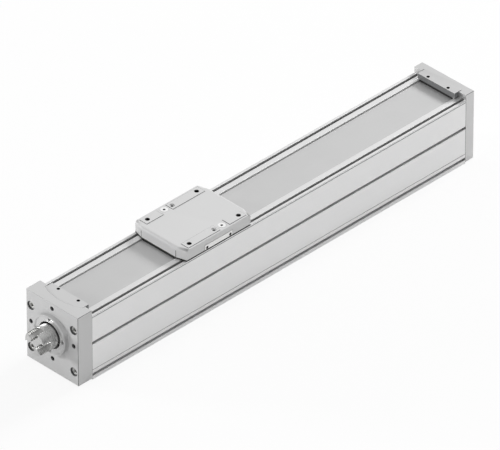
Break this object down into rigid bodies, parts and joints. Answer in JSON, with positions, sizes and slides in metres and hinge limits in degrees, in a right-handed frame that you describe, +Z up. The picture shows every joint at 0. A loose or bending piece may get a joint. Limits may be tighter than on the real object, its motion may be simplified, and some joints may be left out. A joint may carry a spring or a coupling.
{
  "type": "ball screw linear axis",
  "caption": "Electric linear axis: a ball screw in an extruded profile drives a flat carriage along a covered rail guide; jaw coupling half at the drive end.",
  "frame": {"origin": "middle of the profile's base face, half-way along the profile", "axes": "+X along the axis, away from the coupling; +Z up, out of the carriage's top; +Y to the left when looking along +X"},
  "size_m": [0.4804, 0.06, 0.0743],
  "materials": {
    "anodised": "matt clear anodised extrusion",
    "cover": "fine matt coating on cast aluminium",
    "steel_screw": "zinc plated",
    "rail_steel": "ground",
    "black_screw": "blackened",
    "band": "matt rolled stainless",
    "clamp": "matt",
    "bearing": "ground",
    "turned_steel": "turned",
    "buffer": "matt",
    "screw_steel": "rolled and ground",
    "hub": "turned and milled",
    "carriage": "matt clear anodised",
    "nut": "ground",
    "cap_plastic": "moulded",
    "nipple": "turned",
    "wiper": "matt"
  },
  "bodies": {
    "frame": {"profile": "anodised", "drive_cover": "cover", "end_cover": "cover", "drive_cover_screws": "steel_screw", "end_cover_screws": "steel_screw", "guide_rail": "rail_steel", "rail_screws": "black_screw", "cover_band": "band", "drive_band_clamp": "clamp", "end_band_clamp": "clamp", "band_clamp_screws": "black_screw", "drive_bearing_outer": "bearing", "ring_nut": "turned_steel", "end_bearing_outer": "bearing", "drive_buffer": "buffer", "end_buffer": "buffer"},
    "screw": {"ball_screw": "screw_steel", "coupling_hub": "hub", "shaft_nut": "turned_steel", "drive_bearing_inner": "bearing", "end_bearing_inner": "bearing"},
    "carriage": {"carriage_body": "carriage", "ball_nut": "nut", "nut_screws": "black_screw", "front_guide_block": "nut", "rear_guide_block": "nut", "guide_block_caps": "cap_plastic", "guide_block_screws": "black_screw", "side_plates": "carriage", "side_plate_screws": "black_screw", "grease_nipples": "nipple", "band_wipers": "wiper"}
  },
  "joints": [
    {"name": "screw_turn", "type": "hinge", "parent": "frame", "child": "screw", "pos_m": [-0.2333, 0, 0.0389], "axis": [-1, 0, 0], "range_deg": [-2322, 6684]},
    {"name": "carriage_travel", "type": "slide", "parent": "frame", "child": "carriage", "axis": [1, 0, 0], "range_m": [-0.0773, 0.2227]}
  ],
  "couplings": [
    {"joint": "screw_turn", "follows": "carriage_travel", "rad_per_m": 523.6}
  ]
}
